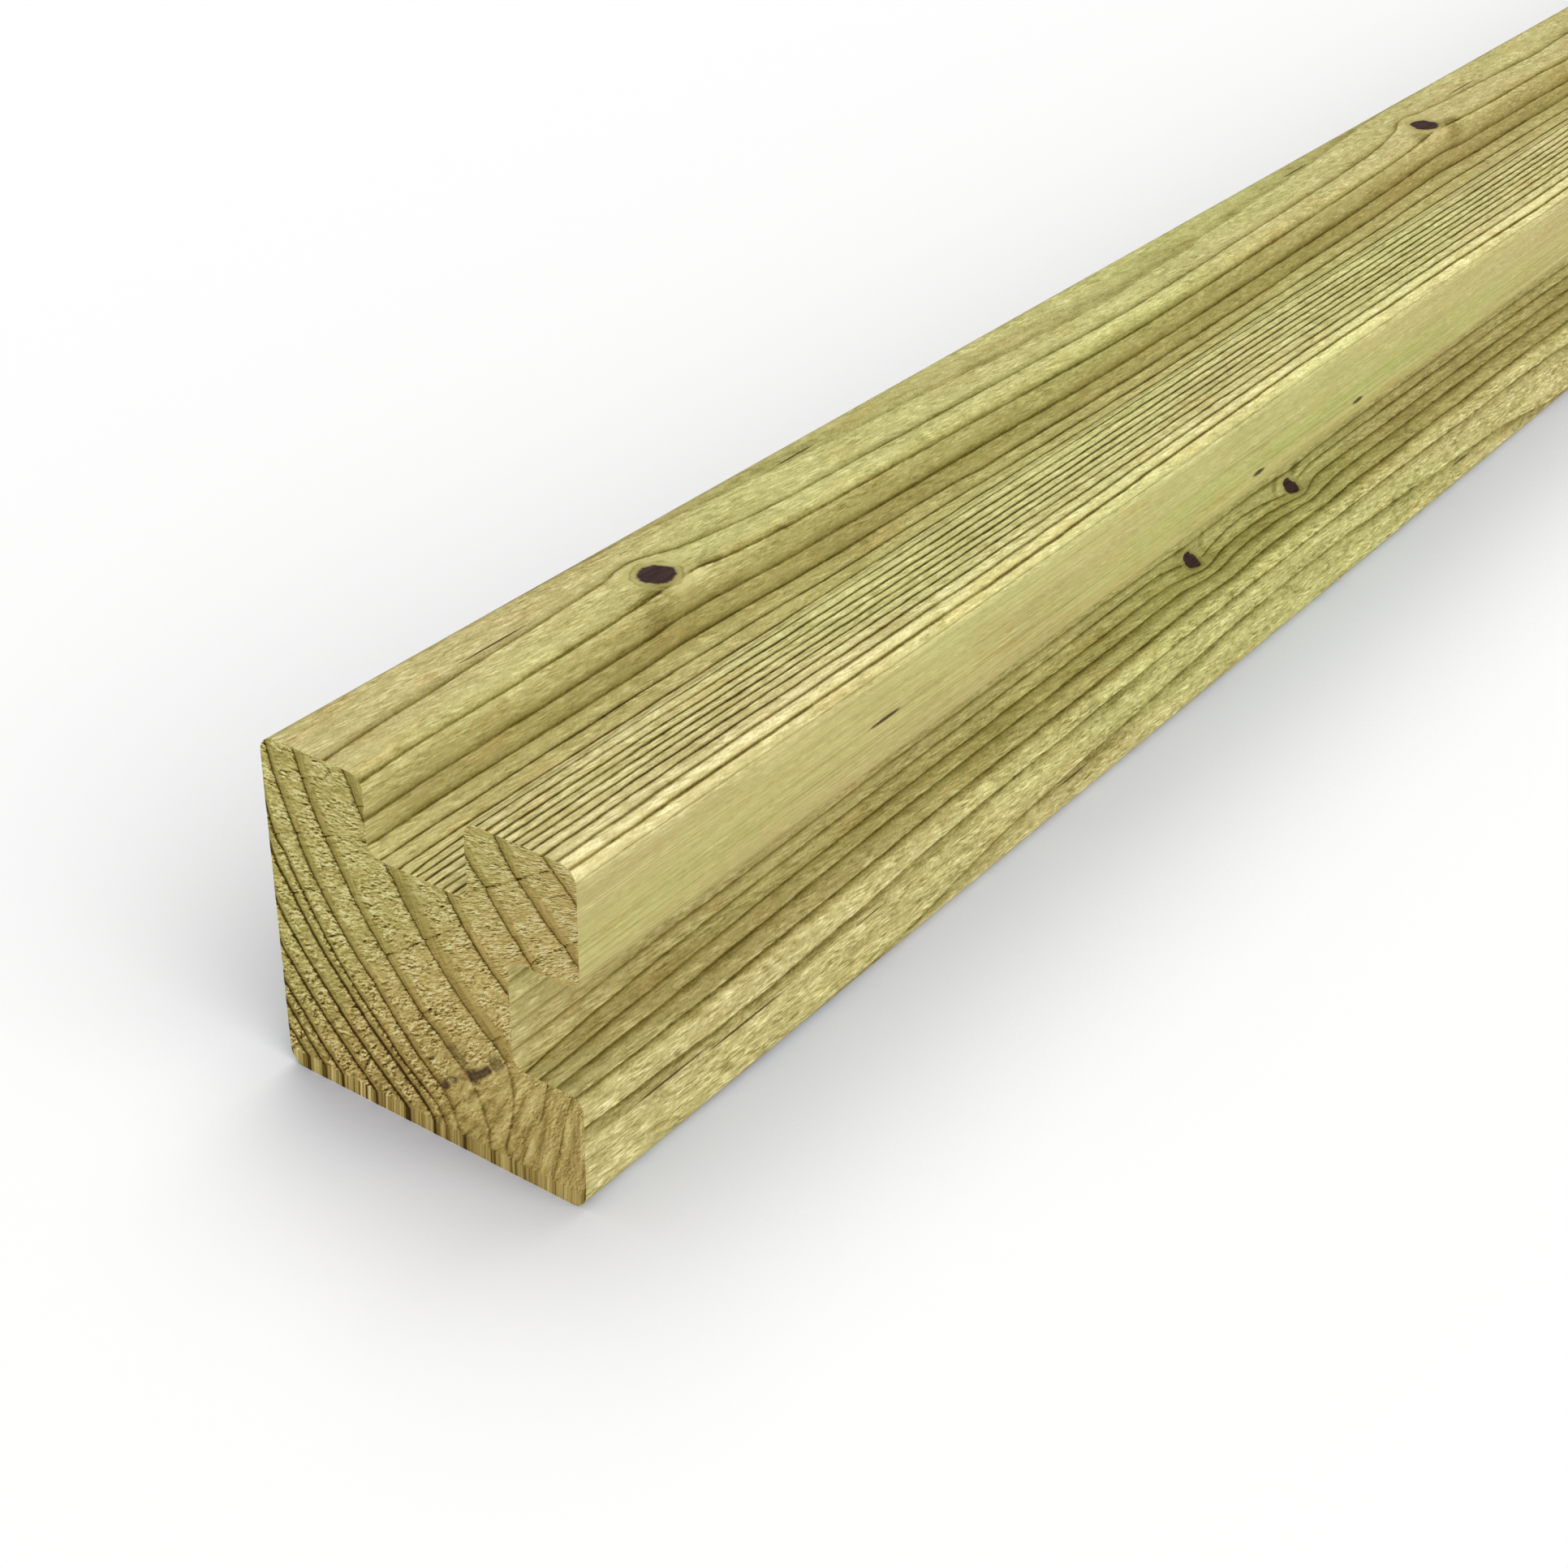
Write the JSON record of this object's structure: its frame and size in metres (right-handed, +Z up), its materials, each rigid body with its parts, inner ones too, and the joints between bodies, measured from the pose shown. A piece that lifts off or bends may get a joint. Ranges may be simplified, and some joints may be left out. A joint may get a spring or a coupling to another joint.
{
  "type": "grooved timber corner post",
  "caption": "Square pressure-treated softwood post with a board groove along two neighbouring faces, for boards that meet at a corner.",
  "frame": {"origin": "middle of the plain underside, halfway along the post", "axes": "+Y along the grain, the post's length; +Z up, out of the grooved top face; +X out of the grooved right face"},
  "size_m": [0.09, 2.4, 0.09],
  "materials": {
    "timber": "planed pressure-treated pine, green-tinted, matt"
  },
  "bodies": {
    "root": {"post": "timber"}
  },
  "joints": []
}
